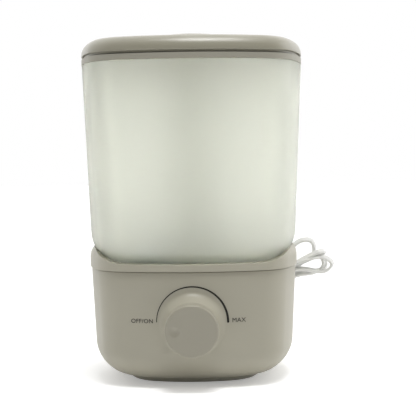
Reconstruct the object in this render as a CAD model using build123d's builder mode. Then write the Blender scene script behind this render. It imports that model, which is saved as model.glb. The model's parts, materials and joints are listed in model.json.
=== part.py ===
"""Cool mist humidifier: a base with a dial, a frosted lift-off tank and a lift-off lid.

Units are millimetres. The origin is on the tank's upright axis at the level of the table,
+Z points up and the dial faces -Y.
"""
from build123d import *
from math import acos, cos, degrees, pi, radians, sin, sqrt, tan
import os

os.makedirs("parts", exist_ok=True)

# ---------------------------------------------------------------- driving dimensions
# overall
tank_top_half = 83.7        # half width of the tank at its top
tank_height = 150.0
base_seam = 85.0            # height where the base shell meets the tray's rim

# plan outline: a square with bowed sides and round corners, given per millimetre of half width
corner_share = 0.393        # corner radius
side_share = 1.905          # radius of the bowed sides
foot_corner_share = 0.60    # corner radius of the rounder foot

# walls and clearances
base_wall = 2.5
tray_wall = 2.2
tank_wall = 2.2
lid_wall = 2.2
seam_gap = 0.4              # between covers that meet edge to edge
slip = 0.4                  # between covers that fit inside each other
tank_gap = 0.8              # between the tank and the tray's pocket
seat_gap = 0.3              # under a part that lifts off
running = 0.05              # radial, shaft in bush
screw_reach = 8.0           # how far a small screw goes into its post

# base and foot
foot_lift = 0.5             # underside of the foot plate
foot_seam = 4.5             # foot plate meets the base shell
base_roll = 25.0            # height and depth of the base's rolled lower edge
base_seam_half = tank_top_half - 5.3
base_roll_half = base_seam_half - 2.6
foot_half = base_roll_half - base_roll + 0.6
rim_half = base_seam_half + 0.9
rim_low = base_seam + 5.2       # rim at the front and back
rim_high = base_seam + 15.2     # rim at the two sides

# tank
tank_low = base_seam + 1.0      # underside of the tank
tank_roll_top = tank_low + 28.0  # where the tank's walls start to roll under
tank_roll_half = tank_top_half - 5.1
tank_roll_depth = 18.0          # how far the tank's walls roll in
tank_top = tank_low + tank_height
collar_top = tank_top + 4.4

# lid
lid_low = collar_top + 2.0      # lower edge of the lid
lid_edge = lid_low + 11.0       # top of the lid's rounded edge
lid_crown = 1.8                 # rise of the lid from its edge to its middle
lid_half = tank_top_half + 0.3
lid_roll = 10.0

# dial
dial_height = 47.0          # where the dial's axis meets the front wall
dial_tilt = 7.0             # degrees that the dial looks down
dial_radius = 18.9
dial_boss_out = 9.0         # the flared boss stands this far out of the wall
dial_face_out = 19.0        # the dial's face
dial_wall = 2.2
dial_shaft_radius = 3.0
boss_front = 2.6            # thickness of the boss's front

# fan
fan_y = 10.0
fan_side = 44.0
fan_height = 15.0
fan_low = 17.0
fan_bore = fan_side / 2 - 1.4
fan_post_pitch = fan_side - 8.0

# mist path
tube_radius = 14.5
tube_wall = 1.8
tube_top = tank_top + 1.0
bell_radius = 33.0
bell_top = tank_low + 42.0
nozzle_radius = 25.0
nozzle_neck = nozzle_radius - 1.6
nozzle_top = lid_edge + 7.1

# water parts in the tray
basin_half = base_seam_half - 22.4
basin_floor = base_seam - 15.0
basin_x = 0.5893 * basin_half   # valve on the left, float on the right
basin_y = -0.6786 * basin_half
chimney_y = basin_half - 18.0
transducer_radius = 10.0

# cord
cord_width = 4.8
cord_radius = cord_width / 2
exit_x = 38.0
exit_height = 25.0
relief_length = 27.0
relief_wall = 1.4           # strain relief's shank outside the cord
relief_flare = 2.2          # strain relief's wide end outside the cord
hank_gap = 9.2              # from the rim to the middle of the hank


# ---------------------------------------------------------------- shared shapes
class Squircle(BaseSketchObject):
    """Square with bowed sides and tangent corner arcs."""

    def __init__(self, half, corner=corner_share, mode=Mode.ADD):
        side_radius = half * side_share
        corner_radius = half * corner
        spread = side_radius - corner_radius
        sweep_deg = degrees(acos((side_radius - half) / (spread * sqrt(2)))) - 45
        corner_at = spread * sin(radians(sweep_deg))
        with BuildSketch() as plan:
            with BuildLine():
                for quarter in range(4):
                    turn = 90 * quarter
                    side_centre = Vector(half - side_radius, 0).rotate(Axis.Z, turn)
                    corner_centre = Vector(corner_at, corner_at).rotate(Axis.Z, turn)
                    CenterArc(side_centre, side_radius, turn - sweep_deg, 2 * sweep_deg)
                    CenterArc(corner_centre, corner_radius, turn + sweep_deg, 90 - 2 * sweep_deg)
            make_face()
        super().__init__(obj=plan.sketch, mode=mode)


def body_through(line, mode=Mode.ADD, ruled=True):
    """Loft through the outline at each (half width, height, corner share) of a wall line."""
    sections = []
    for half, height, corner in line:
        with BuildSketch(Plane.XY.offset(height)) as section:
            Squircle(half, corner)
        sections.append(section.sketch)
    loft(sections, ruled=ruled, mode=mode)


def steps(count):
    return [step / count for step in range(count + 1)]


def base_line(inset, low, high):
    """Wall line of the base from the foot up, moved in by an inset."""
    roll_top = foot_seam + base_roll
    slope = (base_seam_half - base_roll_half) / (base_seam - roll_top)
    line = []
    for share in steps(6):
        angle = 90 * share
        half = base_roll_half - base_roll + base_roll * sin(radians(angle)) - inset
        height = roll_top - (roll_top - low) * cos(radians(angle))
        corner = foot_corner_share + (corner_share - foot_corner_share) * sin(radians(angle))
        line.append((half, height, corner))
    for share in (0.5, 1.0):
        height = roll_top + (high - roll_top) * share
        line.append((base_roll_half + slope * (height - roll_top) - inset, height, corner_share))
    return line


def tank_half(height):
    """Half width of the tank's outside at a height."""
    slope = (tank_top_half - tank_roll_half) / (tank_top - tank_roll_top)
    half = tank_roll_half + slope * (height - tank_roll_top)
    if height < tank_roll_top:
        rolled = (tank_roll_top - height) / (tank_roll_top - tank_low)
        half -= tank_roll_depth * rolled**3
    return half


def tank_line(inset, low, high):
    """Wall line of the tank between two heights, moved in by an inset."""
    line = []
    for share in steps(6):
        height = low + (min(high, tank_roll_top) - low) * share
        line.append((tank_half(height) - inset, height, corner_share))
    if high > tank_roll_top:
        for share in (0.5, 1.0):
            height = tank_roll_top + (high - tank_roll_top) * share
            line.append((tank_half(height) - inset, height, corner_share))
    return line


def lid_line(inset, low):
    """Wall line of the lid from its lower edge to its crown, moved in by an inset."""
    line = [(lid_half - inset, low, corner_share)]
    for share in steps(5):
        angle = 90 * share
        half = lid_half - lid_roll * (1 - cos(radians(angle))) - inset
        line.append((half, lid_edge - lid_roll * (1 - sin(radians(angle))) - inset, corner_share))
    shoulder = lid_half - lid_roll - inset
    for share in (0.7, 0.35):
        height = lid_edge - inset + lid_crown * (1 - share**2)
        line.append((shoulder * share, height, corner_share))
    return line


def at_corners(spacing_x, spacing_y, height, y=0.0):
    """Four places in a rectangle around the axis at a height."""
    return [
        (sx * spacing_x / 2, y + sy * spacing_y / 2, height) for sx in (-1, 1) for sy in (-1, 1)
    ]


def pan_screw(shank_radius, length, head_radius, head_height):
    """Screw standing head down, with the seat of its head at the local origin."""
    with BuildPart(mode=Mode.PRIVATE) as screw:
        with BuildSketch():
            Circle(shank_radius)
        extrude(amount=length)
        with BuildSketch():
            Circle(head_radius)
        extrude(amount=-head_height)
        with BuildSketch(Plane.XY.offset(-head_height)):
            Rectangle(head_radius, head_radius * 0.25)
            Rectangle(head_radius * 0.25, head_radius)
        extrude(amount=head_height * 0.5, mode=Mode.SUBTRACT)
    return screw.part


def finish(piece, label):
    piece.part.label = label
    export_step(piece.part, f"parts/{label}.step")


# ---------------------------------------------------------------- foot
cover_screw_pitch = 2 * (foot_half - 18.4)
cover_screw_sink = 1.8
ring_outer = foot_half - 9.0
ring_inner = ring_outer - 3.8
ring_depth = 1.4
cover_opening = ring_inner + 2.4
cover_rib = 3.0
vent_count = 7
vent_pitch = 6.0
vent_width = 3.0
board_post_x = 20.0
board_post_y = -27.0

with BuildPart() as foot_ring:
    with BuildSketch():
        Circle(ring_outer)
        Circle(ring_inner, mode=Mode.SUBTRACT)
    extrude(amount=foot_lift + ring_depth)
    fillet(foot_ring.faces().sort_by(Axis.Z)[0].edges(), radius=0.3)
finish(foot_ring, "foot_ring")

post_radius = 3.0
pilot_radius = 1.1
cover_screw_radius = 1.4
with BuildPart() as bottom_cover:
    foot_roll = foot_seam - foot_lift
    body_through(
        [
            (foot_half - foot_roll * (1 - sin(radians(90 * share))),
             foot_seam - foot_roll * cos(radians(90 * share)),
             foot_corner_share)
            for share in steps(4)
        ]
    )
    with BuildSketch(Plane.XY.offset(foot_seam)):
        Circle(cover_opening - slip)
        Circle(cover_opening - slip - 2.0, mode=Mode.SUBTRACT)
    extrude(amount=cover_rib)
    with BuildSketch(Plane.XY.offset(foot_seam)):
        with Locations((0, fan_y)):
            with GridLocations(fan_post_pitch, fan_post_pitch, 2, 2):
                Circle(post_radius)
    extrude(amount=fan_low - foot_seam)
    with BuildSketch(Plane.XY.offset(foot_seam)):
        with Locations((-board_post_x, board_post_y), (board_post_x, board_post_y)):
            Circle(post_radius)
    extrude(amount=fan_low - foot_seam)
    with Locations(*at_corners(fan_post_pitch, fan_post_pitch, fan_low, fan_y)):
        Hole(pilot_radius, depth=screw_reach)
    with Locations((-board_post_x, board_post_y, fan_low), (board_post_x, board_post_y, fan_low)):
        Hole(pilot_radius, depth=screw_reach)
    with BuildSketch(Plane.XY.offset(foot_lift)):
        Circle(ring_outer)
        Circle(ring_inner, mode=Mode.SUBTRACT)
    extrude(amount=ring_depth, mode=Mode.SUBTRACT)
    with BuildSketch(Plane.XY.offset(foot_lift)):
        with Locations((0, fan_y - 4)):
            with GridLocations(vent_pitch, 0, vent_count, 1):
                SlotOverall(26, vent_width, rotation=90)
    extrude(amount=foot_seam - foot_lift, mode=Mode.SUBTRACT)
    with BuildSketch(Plane.XY.offset(foot_lift)):
        with GridLocations(cover_screw_pitch, cover_screw_pitch, 2, 2):
            Circle(3.2)
    extrude(amount=cover_screw_sink, mode=Mode.SUBTRACT)
    with BuildSketch(Plane.XY.offset(foot_lift)):
        with GridLocations(cover_screw_pitch, cover_screw_pitch, 2, 2):
            Circle(1.8)
    extrude(amount=foot_seam - foot_lift, mode=Mode.SUBTRACT)
finish(bottom_cover, "bottom_cover")

with BuildPart() as cover_screws:
    with Locations(*at_corners(cover_screw_pitch, cover_screw_pitch, foot_lift + cover_screw_sink)):
        add(pan_screw(cover_screw_radius, 9.0, 2.8, 1.5))
finish(cover_screws, "cover_screws")

# ---------------------------------------------------------------- dial frame
dial_wall_half = base_roll_half + (base_seam_half - base_roll_half) * (
    dial_height - foot_seam - base_roll
) / (base_seam - foot_seam - base_roll)
dial_origin = Vector(0, -dial_wall_half, dial_height)
dial_out = Vector(0, -cos(radians(dial_tilt)), -sin(radians(dial_tilt)))
dial_axis = Axis(dial_origin, dial_out)
dial_profile = Plane(origin=dial_origin, x_dir=dial_out, z_dir=(1, 0, 0))


def dial_plane(out):
    return Plane(origin=dial_origin + dial_out * out, x_dir=(1, 0, 0), z_dir=dial_out)


# ---------------------------------------------------------------- base shell
rear_wall = base_roll_half - 1.2    # outside of the wall at the cord's exit
pot_seat = dial_boss_out - boss_front
bush_radius = 3.5
with BuildPart() as base_shell:
    body_through(base_line(0, foot_seam, base_seam - seam_gap))
    with BuildSketch(dial_profile):
        with BuildLine():
            Polyline((-5, 0), (dial_boss_out, 0), (dial_boss_out, dial_radius - 0.3))
            Bezier(
                (dial_boss_out, dial_radius - 0.3),
                (dial_boss_out / 2, dial_radius - 0.2),
                (0, dial_radius + 1),
                (-5, dial_radius + 6),
            )
            Line((-5, dial_radius + 6), (-5, 0))
        make_face()
    revolve(axis=dial_axis)
    body_through(base_line(base_wall, foot_seam + base_wall, base_seam + 4), mode=Mode.SUBTRACT)
    with BuildSketch(dial_plane(-12)):
        Circle(dial_radius - 3.4)
    extrude(amount=12 + pot_seat, mode=Mode.SUBTRACT)
    with BuildSketch(dial_plane(0)):
        Circle(bush_radius + 0.2)
    extrude(amount=dial_boss_out + 5, mode=Mode.SUBTRACT)
    with BuildSketch(Plane.XY.offset(foot_seam)):
        Circle(cover_opening)
    extrude(amount=base_wall + 1, mode=Mode.SUBTRACT)
    with BuildSketch(Plane.XY.offset(foot_seam + base_wall - 0.5)):
        with GridLocations(cover_screw_pitch, cover_screw_pitch, 2, 2):
            Circle(3.6)
    extrude(amount=9.5)
    with BuildSketch(Plane.XY.offset(foot_seam)):
        with GridLocations(cover_screw_pitch, cover_screw_pitch, 2, 2):
            Circle(cover_screw_radius)
    extrude(amount=9.0, mode=Mode.SUBTRACT)
    with BuildSketch(Plane.XZ.offset(15 - rear_wall)):
        with Locations((exit_x, exit_height)):
            Circle(cord_radius + relief_wall + 0.2)
    extrude(amount=-30, mode=Mode.SUBTRACT)
finish(base_shell, "base_shell")

# ---------------------------------------------------------------- fan
blade_count = 9
fan_tip = fan_bore - 0.8
hub_radius = 10.0
fan_centre = (0, fan_y)

with BuildPart() as fan_housing:
    with BuildSketch(Plane.XY.offset(fan_low)):
        with Locations(fan_centre):
            RectangleRounded(fan_side, fan_side, 4)
            Circle(fan_bore, mode=Mode.SUBTRACT)
            with GridLocations(fan_post_pitch, fan_post_pitch, 2, 2):
                Circle(1.6, mode=Mode.SUBTRACT)
    extrude(amount=fan_height)
    with BuildSketch(Plane.XY.offset(fan_low)):
        with Locations(fan_centre):
            Circle(hub_radius)
            with PolarLocations(0, 4, start_angle=45):
                with Locations((fan_bore / 2, 0)):
                    Rectangle(fan_bore + 1, 2.4)
    extrude(amount=2.0)
finish(fan_housing, "fan_housing")

stator_top = fan_low + fan_height - 4.0
with BuildPart() as fan_stator:
    with BuildSketch(Plane.XY.offset(fan_low + 2.0)):
        with Locations(fan_centre):
            Circle(hub_radius - 2.4)
            Circle(1.0 + running, mode=Mode.SUBTRACT)
    extrude(amount=stator_top - fan_low - 2.0)
finish(fan_stator, "fan_stator")

with BuildPart() as fan_rotor:
    with BuildSketch(Plane.XY.offset(fan_low + 2.8)):
        with Locations(fan_centre):
            Circle(hub_radius)
    extrude(amount=fan_height - 3.8)
    with BuildSketch(Plane.XY.offset(fan_low + 2.8)):
        with Locations(fan_centre):
            Circle(hub_radius - 1.4)
    extrude(amount=stator_top + 0.8 - fan_low - 2.8, mode=Mode.SUBTRACT)
    with BuildSketch(Plane.XY.offset(fan_low + 2.8)):
        with Locations(fan_centre):
            Circle(1.0)
    extrude(amount=fan_height - 4.2)
    blade_span = fan_tip - hub_radius + 0.6
    with Locations((0, fan_y, fan_low + 7.6)):
        with PolarLocations(0, blade_count):
            with Locations(Location((hub_radius + blade_span / 2 - 0.6, 0, 0), (38, 0, 0))):
                Box(blade_span, 1.1, 9.0)
finish(fan_rotor, "fan_rotor")

with BuildPart() as fan_screws:
    with BuildSketch(Plane.XY.offset(fan_low - 7.0)):
        with Locations(fan_centre):
            with GridLocations(fan_post_pitch, fan_post_pitch, 2, 2):
                Circle(1.0)
    extrude(amount=fan_height + 7.0)
    with BuildSketch(Plane.XY.offset(fan_low + fan_height)):
        with Locations(fan_centre):
            with GridLocations(fan_post_pitch, fan_post_pitch, 2, 2):
                Circle(2.4)
    extrude(amount=1.4)
finish(fan_screws, "fan_screws")

# ---------------------------------------------------------------- air duct
duct_wall = 1.4
chimney_x_size = 26.0
chimney_y_size = 15.0
duct_low = fan_low + fan_height + 1.8
duct_top = basin_floor - tray_wall - slip

with BuildPart() as air_duct:
    duct_sections = (
        (duct_low, 2 * fan_bore, 2 * fan_bore, fan_y),
        (duct_top, chimney_x_size, chimney_y_size, chimney_y),
    )
    for wall, mode in ((0, Mode.ADD), (duct_wall, Mode.SUBTRACT)):
        faces = []
        for height, size_x, size_y, centre_y in duct_sections:
            with BuildSketch(Plane.XY.offset(height)) as duct_section:
                with Locations((0, centre_y)):
                    RectangleRounded(size_x - 2 * wall, size_y - 2 * wall, 3)
            faces.append(duct_section.sketch)
        loft(faces, ruled=True, mode=mode)
finish(air_duct, "air_duct")

# ---------------------------------------------------------------- tray
skirt_depth = 6.0
pocket_low = tank_low - seat_gap
cradle_flat = rim_half - 31.3
cradle_radius = 38.0
tray_screw_pitch = 92.0
push_pin_top = tank_low - 5.2
float_post_top = tank_low - 2.4
float_post_radius = 1.5

with BuildPart() as base_tray:
    body_through(
        [
            (rim_half, base_seam, corner_share),
            (rim_half, base_seam + 7.5, corner_share),
            (rim_half - 0.5, base_seam + 10.5, corner_share),
            (rim_half - 1.6, base_seam + 13.0, corner_share),
            (rim_half - 3.4, rim_high, corner_share),
        ]
    )
    skirt_half = base_seam_half - base_wall - slip
    with BuildSketch(Plane.XY.offset(base_seam - skirt_depth)):
        Squircle(skirt_half - 0.4)
        Squircle(skirt_half - 0.4 - tray_wall, mode=Mode.SUBTRACT)
    extrude(amount=skirt_depth)
    with BuildSketch(Plane.XY.offset(basin_floor - tray_wall)):
        Squircle(basin_half + tray_wall)
    extrude(amount=base_seam + tray_wall - basin_floor)
    body_through(tank_line(-tank_gap, pocket_low, rim_high + 5), mode=Mode.SUBTRACT)
    with BuildSketch(Plane.XZ.offset(-rim_half - 5)):
        with BuildLine():
            rise = rim_high + 2 - rim_low
            reach = sqrt(cradle_radius**2 - (cradle_radius - rise) ** 2)
            Line((-cradle_flat, rim_low), (cradle_flat, rim_low))
            for side in (-1, 1):
                ThreePointArc(
                    (side * cradle_flat, rim_low),
                    (side * (cradle_flat + cradle_radius * sin(radians(20))),
                     rim_low + cradle_radius * (1 - cos(radians(20)))),
                    (side * (cradle_flat + reach), rim_low + rise),
                )
            Line((-cradle_flat - reach, rim_low + rise), (cradle_flat + reach, rim_low + rise))
        make_face()
    extrude(amount=2 * rim_half + 10, mode=Mode.SUBTRACT)
    with BuildSketch(Plane.XY.offset(basin_floor)):
        Squircle(basin_half)
    extrude(amount=tank_low - basin_floor, mode=Mode.SUBTRACT)
    # chimney, float post and push pin stand on the basin's floor
    with BuildSketch(Plane.XY.offset(basin_floor)):
        with Locations((0, chimney_y)):
            RectangleRounded(chimney_x_size, chimney_y_size, 3)
    extrude(amount=tank_low - 4 - basin_floor)
    with BuildSketch(Plane.XY.offset(basin_floor - tray_wall)):
        with Locations((0, chimney_y)):
            RectangleRounded(chimney_x_size - 2 * tray_wall, chimney_y_size - 2 * tray_wall, 1.5)
    extrude(amount=tank_low - basin_floor + tray_wall, mode=Mode.SUBTRACT)
    with BuildSketch(Plane.XY.offset(basin_floor)):
        with Locations((-basin_x, basin_y)):
            Circle(1.6)
    extrude(amount=push_pin_top - basin_floor)
    with BuildSketch(Plane.XY.offset(basin_floor)):
        with Locations((basin_x, basin_y)):
            Circle(float_post_radius)
    extrude(amount=float_post_top - basin_floor)
    # mist hole over the transducer, and bosses under the floor
    with BuildSketch(Plane.XY.offset(basin_floor - tray_wall)):
        Circle(transducer_radius - 1.6)
    extrude(amount=tray_wall, mode=Mode.SUBTRACT)
    with BuildSketch(Plane.XY.offset(basin_floor - tray_wall - 4.0)):
        with PolarLocations(17.0, 3, start_angle=90):
            Circle(2.6)
    extrude(amount=4.0)
    with BuildSketch(Plane.XY.offset(basin_floor - tray_wall - 4.0)):
        with PolarLocations(17.0, 3, start_angle=90):
            Circle(1.0)
    extrude(amount=5.0, mode=Mode.SUBTRACT)
finish(base_tray, "base_tray")

# ---------------------------------------------------------------- transducer under the tray
seal_top = basin_floor - tray_wall
seal_radius = 13.0
seal_depth = 4.0

with BuildPart() as transducer_seal:
    with BuildSketch(Plane.XY.offset(seal_top - seal_depth)):
        Circle(seal_radius)
        Circle(transducer_radius - 1.6, mode=Mode.SUBTRACT)
    extrude(amount=seal_depth)
    with BuildSketch(Plane.XY.offset(seal_top - 2.6)):
        Circle(transducer_radius)
    extrude(amount=1.2, mode=Mode.SUBTRACT)
finish(transducer_seal, "transducer_seal")

with BuildPart() as transducer_disc:
    with BuildSketch(Plane.XY.offset(seal_top - 2.6)):
        Circle(transducer_radius)
    extrude(amount=1.2)
finish(transducer_disc, "transducer_disc")

with BuildPart() as transducer_retainer:
    with BuildSketch(Plane.XY.offset(seal_top - seal_depth - 1.6)):
        Circle(seal_radius + 1.0)
        with PolarLocations(17.0, 3, start_angle=90):
            Circle(3.2)
        Circle(transducer_radius - 2.6, mode=Mode.SUBTRACT)
        with PolarLocations(17.0, 3, start_angle=90):
            Circle(1.3, mode=Mode.SUBTRACT)
    extrude(amount=1.6)
finish(transducer_retainer, "transducer_retainer")

with BuildPart() as retainer_screws:
    with BuildSketch(Plane.XY.offset(seal_top - seal_depth - 1.6)):
        with PolarLocations(17.0, 3, start_angle=90):
            Circle(0.95)
    extrude(amount=6.0)
    with BuildSketch(Plane.XY.offset(seal_top - seal_depth - 2.9)):
        with PolarLocations(17.0, 3, start_angle=90):
            Circle(2.2)
    extrude(amount=1.3)
finish(retainer_screws, "retainer_screws")

# ---------------------------------------------------------------- float
float_height = 7.5
float_low = basin_floor + 0.6
float_rise = 4.0

with BuildPart() as water_float:
    with BuildSketch(Plane.XY.offset(float_low)):
        with Locations((basin_x, basin_y)):
            Circle(8.0)
            Circle(float_post_radius + 0.4, mode=Mode.SUBTRACT)
    extrude(amount=float_height)
finish(water_float, "water_float")

with BuildPart() as float_cap:
    with BuildSketch(Plane.XY.offset(float_post_top)):
        with Locations((basin_x, basin_y)):
            Circle(3.2)
    extrude(amount=1.2)
finish(float_cap, "float_cap")

with BuildPart() as level_sensor:
    with BuildSketch(Plane.XY.offset(seal_top - 6.0)):
        with Locations((basin_x, basin_y)):
            Circle(3.0)
    extrude(amount=6.0)
finish(level_sensor, "level_sensor")

# ---------------------------------------------------------------- electronics
board_thick = 1.6
board_low = fan_low
board_size_x = 54.0
board_size_y = 17.0

with BuildPart() as driver_board:
    with BuildSketch(Plane.XY.offset(board_low)):
        with Locations((0, board_post_y)):
            RectangleRounded(board_size_x, board_size_y, 1.5)
            with Locations((-board_post_x, 0), (board_post_x, 0)):
                Circle(1.3, mode=Mode.SUBTRACT)
    extrude(amount=board_thick)
finish(driver_board, "driver_board")

board_top = board_low + board_thick
with BuildPart() as board_coils:
    with BuildSketch(Plane.XY.offset(board_top)):
        with Locations((-9, board_post_y), (3, board_post_y + 3)):
            Circle(4.0)
    extrude(amount=9.0)
    chamfer(board_coils.faces().filter_by(Axis.Z).sort_by(Axis.Z)[-2:].edges(), length=0.5)
finish(board_coils, "board_coils")

with BuildPart() as heat_sink:
    with BuildSketch(Plane.XY.offset(board_top)):
        with Locations((13, board_post_y)):
            Rectangle(2.0, 14.0)
            with Locations((-1.5, -6), (-1.5, -2), (-1.5, 2), (-1.5, 6)):
                Rectangle(4.0, 1.0)
    extrude(amount=14.0)
finish(heat_sink, "heat_sink")

with BuildPart() as board_screws:
    with BuildSketch(Plane.XY.offset(board_top - 8.0)):
        with Locations((-board_post_x, board_post_y), (board_post_x, board_post_y)):
            Circle(1.0)
    extrude(amount=8.0)
    with BuildSketch(Plane.XY.offset(board_top)):
        with Locations((-board_post_x, board_post_y), (board_post_x, board_post_y)):
            Circle(2.2)
    extrude(amount=1.3)
finish(board_screws, "board_screws")

# ---------------------------------------------------------------- dial
pot_depth = 9.0
shaft_hole = dial_shaft_radius + running
nut_thick = 2.0
knob_low = dial_boss_out + 0.6
knob_hub_low = dial_boss_out + nut_thick + 2.2
knob_top_wall = 2.6
dimple_radius = 3.3
dimple_depth = 0.9
dimple_out = 12.2

with BuildPart() as dial_potentiometer:
    with BuildSketch(dial_plane(pot_seat - pot_depth)):
        Circle(8.2)
        with Locations((0, -9)):
            Rectangle(11, 8)
    extrude(amount=pot_depth)
    with BuildSketch(dial_plane(pot_seat)):
        Circle(bush_radius)
    extrude(amount=boss_front + nut_thick + 1.2)
    with BuildSketch(dial_plane(pot_seat - pot_depth + 2)):
        Circle(shaft_hole)
    extrude(amount=30, mode=Mode.SUBTRACT)
finish(dial_potentiometer, "dial_potentiometer")

with BuildPart() as dial_nut:
    with BuildSketch(dial_plane(dial_boss_out)):
        RegularPolygon(5.8, 6)
        Circle(bush_radius, mode=Mode.SUBTRACT)
    extrude(amount=nut_thick)
finish(dial_nut, "dial_nut")

with BuildPart() as dial_shaft:
    with BuildSketch(dial_plane(pot_seat - pot_depth + 2.4)):
        Circle(dial_shaft_radius)
    extrude(amount=knob_hub_low - (pot_seat - pot_depth + 2.4))
    with BuildSketch(dial_plane(knob_hub_low)):
        Circle(dial_shaft_radius)
        with Locations((0, dial_shaft_radius)):
            Rectangle(2 * dial_shaft_radius, 2.4, mode=Mode.SUBTRACT)
    extrude(amount=dial_face_out - knob_top_wall - knob_hub_low)
finish(dial_shaft, "dial_shaft")

with BuildPart() as dial_knob:
    with BuildSketch(dial_plane(knob_low)):
        Circle(dial_radius)
    extrude(amount=dial_face_out - knob_low)
    fillet(dial_knob.faces().sort_by(dial_axis)[-1].edges(), radius=1.1)
    with BuildSketch(dial_plane(knob_low)):
        Circle(dial_radius - dial_wall)
    extrude(amount=dial_face_out - knob_top_wall - knob_low, mode=Mode.SUBTRACT)
    with BuildSketch(dial_plane(knob_hub_low)):
        Circle(dial_shaft_radius + 2.2)
    extrude(amount=dial_face_out - knob_top_wall - knob_hub_low)
    with BuildSketch(dial_plane(knob_hub_low)):
        Circle(dial_shaft_radius + 0.02)
        with Locations((0, dial_shaft_radius + 0.02)):
            Rectangle(2 * dial_shaft_radius + 1, 2.4, mode=Mode.SUBTRACT)
    extrude(amount=dial_face_out - knob_top_wall - knob_hub_low, mode=Mode.SUBTRACT)
    ball_radius = (dimple_radius**2 + dimple_depth**2) / (2 * dimple_depth)
    dimple_plane = dial_plane(dial_face_out + ball_radius - dimple_depth)
    with Locations(dimple_plane.location * Location((-dimple_out, 0, 0))):
        Sphere(ball_radius, mode=Mode.SUBTRACT)
finish(dial_knob, "dial_knob")

# ---------------------------------------------------------------- tank
outlet_radius = bell_radius - 3.0
valve_hole = 10.0
neck_step = 3.0
neck_height = 2.8

with BuildPart() as tank_shell:
    body_through(tank_line(0, tank_low, tank_top))
    with BuildSketch(Plane.XY.offset(tank_top)):
        Squircle(tank_top_half - neck_step)
    extrude(amount=neck_height)
    inner_low = tank_low + tank_wall
    body_through(tank_line(tank_wall + 0.2, inner_low, tank_top - 4), mode=Mode.SUBTRACT)
    with BuildSketch(Plane.XY.offset(tank_top - 4)):
        Squircle(tank_top_half - neck_step - tank_wall)
    extrude(amount=neck_height + 4, mode=Mode.SUBTRACT)
    with BuildSketch(Plane.XY.offset(tank_low)):
        Circle(outlet_radius)
        with Locations((-basin_x, basin_y)):
            Circle(valve_hole)
    extrude(amount=tank_wall, mode=Mode.SUBTRACT)
finish(tank_shell, "tank_shell")

bell_flange = bell_radius + 3.0
flange_thick = 2.0
flange_low = tank_low + tank_wall

with BuildPart() as mist_tube:
    with BuildSketch(Plane.XZ):
        with BuildLine():
            Line((bell_radius - 2, flange_low), (bell_flange, flange_low))
            Line((bell_flange, flange_low), (bell_flange, flange_low + flange_thick))
            Line((bell_flange, flange_low + flange_thick), (bell_radius, flange_low + flange_thick))
            Bezier(
                (bell_radius, flange_low + flange_thick),
                (bell_radius - 9, flange_low + 14),
                (tube_radius, flange_low + 18),
                (tube_radius, bell_top),
            )
            Line((tube_radius, bell_top), (tube_radius, tube_top))
            Line((tube_radius, tube_top), (tube_radius - tube_wall, tube_top))
            Line((tube_radius - tube_wall, tube_top), (tube_radius - tube_wall, bell_top))
            Bezier(
                (tube_radius - tube_wall, bell_top),
                (tube_radius - tube_wall, flange_low + 18),
                (bell_radius - 11, flange_low + 12),
                (bell_radius - 2, flange_low),
            )
        make_face()
    revolve(axis=Axis.Z)
finish(mist_tube, "mist_tube")

# ---------------------------------------------------------------- tank valve
valve_at = (-basin_x, basin_y)
valve_body = valve_hole - 0.2
valve_low = tank_low - 1.5
valve_top = tank_low + 11.0
valve_port = 5.0
stem_radius = 1.7
stroke = 3.0

with BuildPart() as valve_housing:
    with BuildSketch(Plane.XY.offset(valve_low)):
        with Locations(valve_at):
            Circle(valve_body)
            Circle(valve_port, mode=Mode.SUBTRACT)
    extrude(amount=2.0)
    with BuildSketch(Plane.XY.offset(valve_low + 2.0)):
        with Locations(valve_at):
            Circle(valve_body)
            Circle(valve_body - 1.6, mode=Mode.SUBTRACT)
    extrude(amount=valve_top - valve_low - 4.0)
    with BuildSketch(Plane.XY.offset(flange_low)):
        with Locations(valve_at):
            Circle(valve_hole + 2.4)
            Circle(valve_body - 1.6, mode=Mode.SUBTRACT)
    extrude(amount=1.8)
    with BuildSketch(Plane.XY.offset(valve_top - 2.0)):
        with Locations(valve_at):
            Circle(valve_body)
            Circle(stem_radius + 0.3, mode=Mode.SUBTRACT)
    extrude(amount=2.0)
    with Locations((-basin_x, basin_y, flange_low + 3.8)):
        with PolarLocations(0, 2):
            Box(3 * valve_hole, 7.0, 3.0, align=(Align.CENTER, Align.CENTER, Align.MIN),
                mode=Mode.SUBTRACT)
finish(valve_housing, "valve_housing")

seal_low = valve_low + 2.2
with BuildPart() as valve_seal:
    with BuildSketch(Plane.XY.offset(seal_low)):
        with Locations(valve_at):
            Circle(valve_port + 1.8)
            Circle(stem_radius, mode=Mode.SUBTRACT)
    extrude(amount=1.6)
finish(valve_seal, "valve_seal")

with BuildPart() as valve_stem:
    with BuildSketch(Plane.XY.offset(push_pin_top + 0.4)):
        with Locations(valve_at):
            Circle(stem_radius)
    extrude(amount=valve_top + 0.8 - push_pin_top - 0.4)
finish(valve_stem, "valve_stem")

spring_low = seal_low + 1.6
spring_length = valve_top - 2.0 - spring_low
spring_wire = 0.4
spring_radius = 3.4
with BuildPart() as valve_spring:
    with BuildLine():
        Helix(
            pitch=spring_length / 4.5,
            height=spring_length - 2 * spring_wire - 0.2,
            radius=spring_radius,
            center=(-basin_x, basin_y, spring_low + spring_wire + 0.1),
        )
    with BuildSketch(Plane(
        origin=(-basin_x + spring_radius, basin_y, spring_low + spring_wire + 0.1),
        z_dir=(0, 1, 0),
    )):
        Circle(spring_wire)
    sweep(is_frenet=True)
finish(valve_spring, "valve_spring")

# ---------------------------------------------------------------- collar on the tank
collar_half = tank_top_half + 0.2
collar_bore = collar_half - 6.0
lip_half = collar_half - 3.2

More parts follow.
